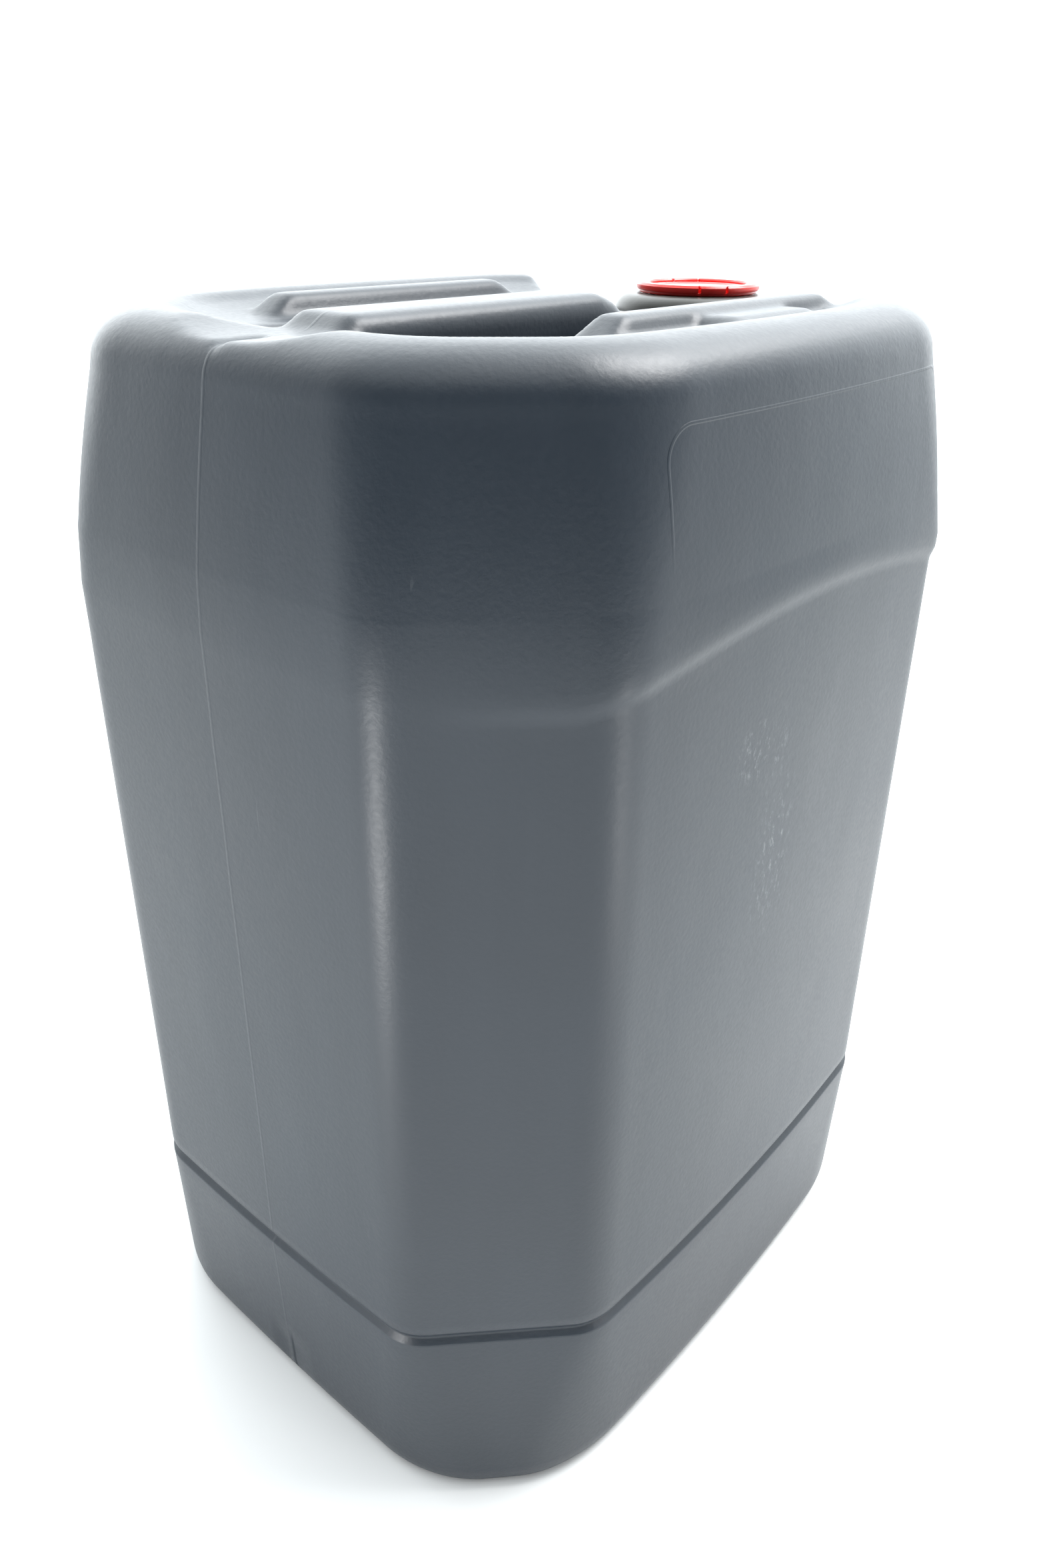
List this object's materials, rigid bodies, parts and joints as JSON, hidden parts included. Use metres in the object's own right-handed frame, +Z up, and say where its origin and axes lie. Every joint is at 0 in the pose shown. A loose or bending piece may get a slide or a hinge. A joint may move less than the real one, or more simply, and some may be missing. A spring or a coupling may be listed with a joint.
{
  "type": "stackable plastic canister",
  "caption": "Tall stackable plastic canister with a moulded carrying handle, a screw cap and a pull-out pouring spout.",
  "frame": {"origin": "middle of the footprint on the floor", "axes": "+Z up, +X along the long side towards the neck, y = 0 is the parting plane through handle and neck"},
  "size_m": [0.292, 0.24, 0.404],
  "materials": {
    "canister_plastic": "satin blow-moulded polyethylene, blue-grey",
    "black_plastic": "satin black moulded plastic",
    "red_plastic": "semi-gloss red moulded plastic",
    "natural_plastic": "soft translucent natural polyethylene",
    "seal_rubber": "matt sealing rubber"
  },
  "bodies": {
    "canister": {"canister_body": "canister_plastic", "tamper_band": "black_plastic"},
    "seal": {"neck_gasket": "seal_rubber"},
    "spout_base": {"spout_flange": "natural_plastic", "spout_bellows": "natural_plastic"},
    "cap": {"screw_cap": "black_plastic"},
    "nozzle": {"spout_nozzle": "natural_plastic"},
    "liner": {"spout_cap_liner": "seal_rubber"},
    "red_cap": {"spout_cap": "red_plastic"},
    "left_bail": {"bail_left": "red_plastic"},
    "right_bail": {"bail_right": "red_plastic"}
  },
  "joints": [
    {"name": "cap_off", "type": "slide", "parent": "canister", "child": "seal", "axis": [0, 0, 1], "range_m": [0, 0.12]},
    {"name": "cap_lift", "type": "slide", "parent": "seal", "child": "spout_base", "axis": [0, 0, 1], "range_m": [0, 0.0101]},
    {"name": "cap_turn", "type": "hinge", "parent": "spout_base", "child": "cap", "pos_m": [0.1, 0, 0.39], "axis": [0, 0, 1], "range_deg": [0, 720]},
    {"name": "spout_pull", "type": "slide", "parent": "spout_base", "child": "nozzle", "axis": [0, 0, 1], "range_m": [0, 0.038], "deforming": ["spout_bellows"]},
    {"name": "spout_cap_lift", "type": "slide", "parent": "nozzle", "child": "liner", "axis": [0, 0, 1], "range_m": [0, 0.0069]},
    {"name": "spout_cap_turn", "type": "hinge", "parent": "liner", "child": "red_cap", "pos_m": [0.1, 0, 0.4], "axis": [0, 0, 1], "range_deg": [0, 720]},
    {"name": "bail_left_hinge", "type": "hinge", "parent": "red_cap", "child": "left_bail", "pos_m": [0.09569, 0.00388, 0.4027], "axis": [0.6691, 0.7431, 0], "range_deg": [0, 88]},
    {"name": "bail_right_hinge", "type": "hinge", "parent": "red_cap", "child": "right_bail", "pos_m": [0.10431, -0.00388, 0.4027], "axis": [-0.6691, -0.7431, 0], "range_deg": [0, 88]}
  ],
  "couplings": [
    {"joint": "cap_lift", "follows": "cap_turn", "m_per_rad": 0.00079577},
    {"joint": "spout_cap_lift", "follows": "spout_cap_turn", "m_per_rad": 0.00054113}
  ]
}
